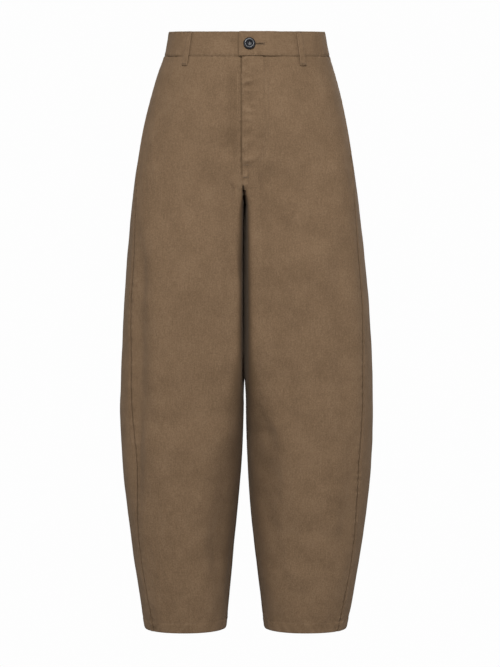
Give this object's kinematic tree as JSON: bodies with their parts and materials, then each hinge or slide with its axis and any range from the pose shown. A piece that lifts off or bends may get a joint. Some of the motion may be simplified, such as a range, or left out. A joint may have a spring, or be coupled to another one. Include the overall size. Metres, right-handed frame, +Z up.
{
  "type": "barrel leg trousers",
  "caption": "Hollow barrel leg trousers in brown cotton twill, open at the waist and hems, with a buttoned waistband.",
  "frame": {"origin": "middle of the waist opening, level with the middle of the waistband at the side, where the wearer's waist holds the trousers", "axes": "+Z up, the trousers' front faces -Y, +X towards the wearer's left leg"},
  "size_m": [0.4039, 0.2345, 0.9611],
  "materials": {
    "front_left": "matte cotton twill",
    "front_right": "matte cotton twill",
    "back_left": "matte cotton twill",
    "back_right": "matte cotton twill",
    "waistband": "matte cotton twill",
    "fly_shield": "matte cotton twill",
    "belt_loop_front_left": "matte cotton twill",
    "belt_loop_front_right": "matte cotton twill",
    "belt_loop_back_left": "matte cotton twill",
    "belt_loop_back_right": "matte cotton twill",
    "belt_loop_centre_back": "matte cotton twill",
    "button": "satin"
  },
  "bodies": {
    "root": {"front_left_hip": "front_left", "front_left_thigh": "front_left", "front_left_knee": "front_left", "front_left_shin": "front_left", "front_right_hip": "front_right", "front_right_thigh": "front_right", "front_right_knee": "front_right", "front_right_shin": "front_right", "back_left_hip": "back_left", "back_left_thigh": "back_left", "back_left_knee": "back_left", "back_left_shin": "back_left", "back_right_hip": "back_right", "back_right_thigh": "back_right", "back_right_knee": "back_right", "back_right_shin": "back_right", "waistband": "waistband", "fly_shield": "fly_shield", "belt_loop_front_left": "belt_loop_front_left", "belt_loop_front_right": "belt_loop_front_right", "belt_loop_back_left": "belt_loop_back_left", "belt_loop_back_right": "belt_loop_back_right", "belt_loop_centre_back": "belt_loop_centre_back", "button": "button"}
  },
  "joints": []
}
